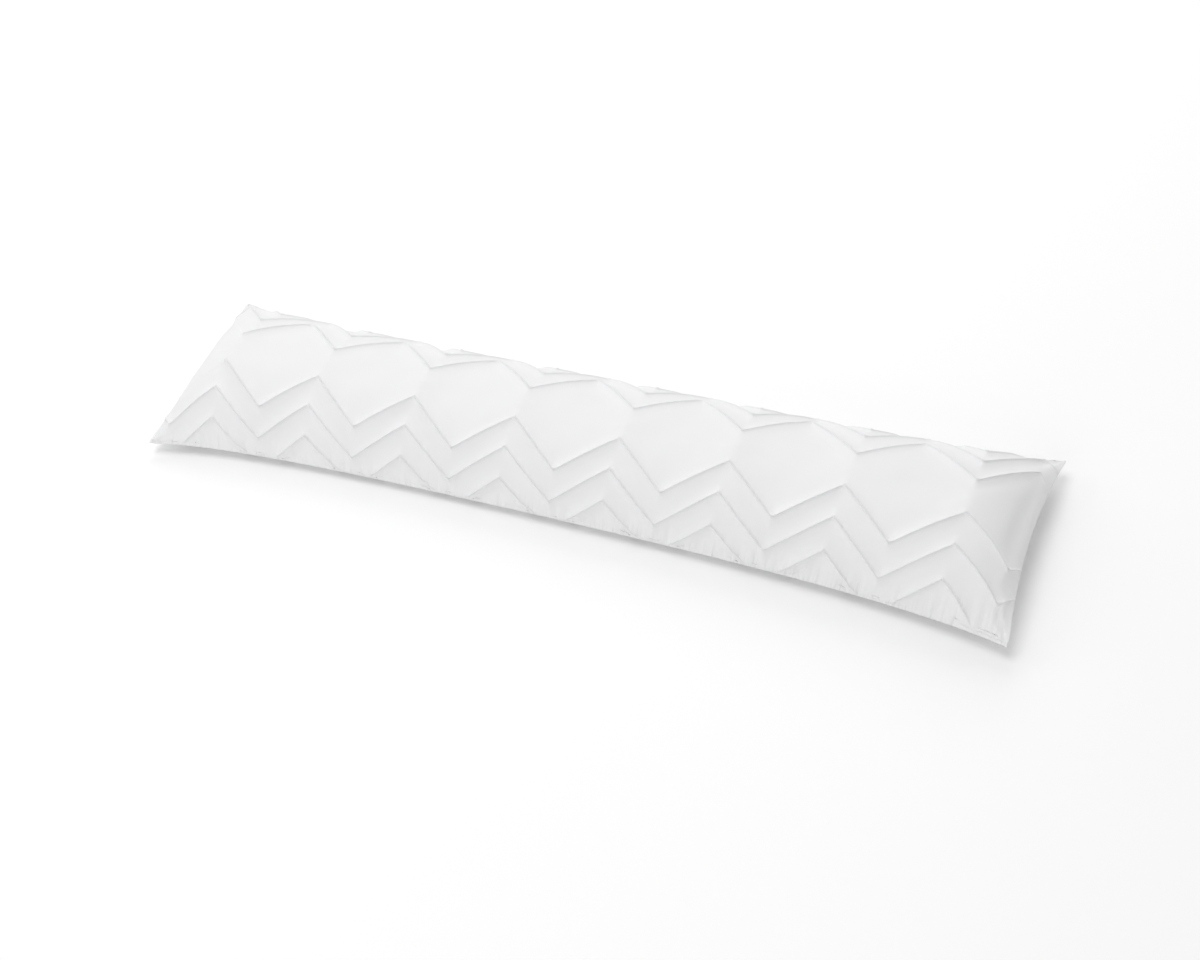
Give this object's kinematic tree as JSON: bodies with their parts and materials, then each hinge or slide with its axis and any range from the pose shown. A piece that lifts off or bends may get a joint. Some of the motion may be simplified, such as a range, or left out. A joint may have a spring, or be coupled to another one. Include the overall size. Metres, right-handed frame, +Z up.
{
  "type": "body pillow",
  "caption": "Long filled body pillow with knife-edge seams, drawn-in sides, flared corners and zigzag quilted channels along both long sides, lying on its back.",
  "frame": {"origin": "on the ground under the middle of the pillow's box, on the flat patch that it lies on", "axes": "+X along the pillow, towards its right end in the picture; +Y across it, away from the camera; +Z up"},
  "size_m": [1.4412, 0.3448, 0.1261],
  "materials": {
    "cloth": "matt white brushed microfibre, quilted, with white thread"
  },
  "bodies": {
    "root": {"pillow": "cloth"}
  },
  "joints": []
}
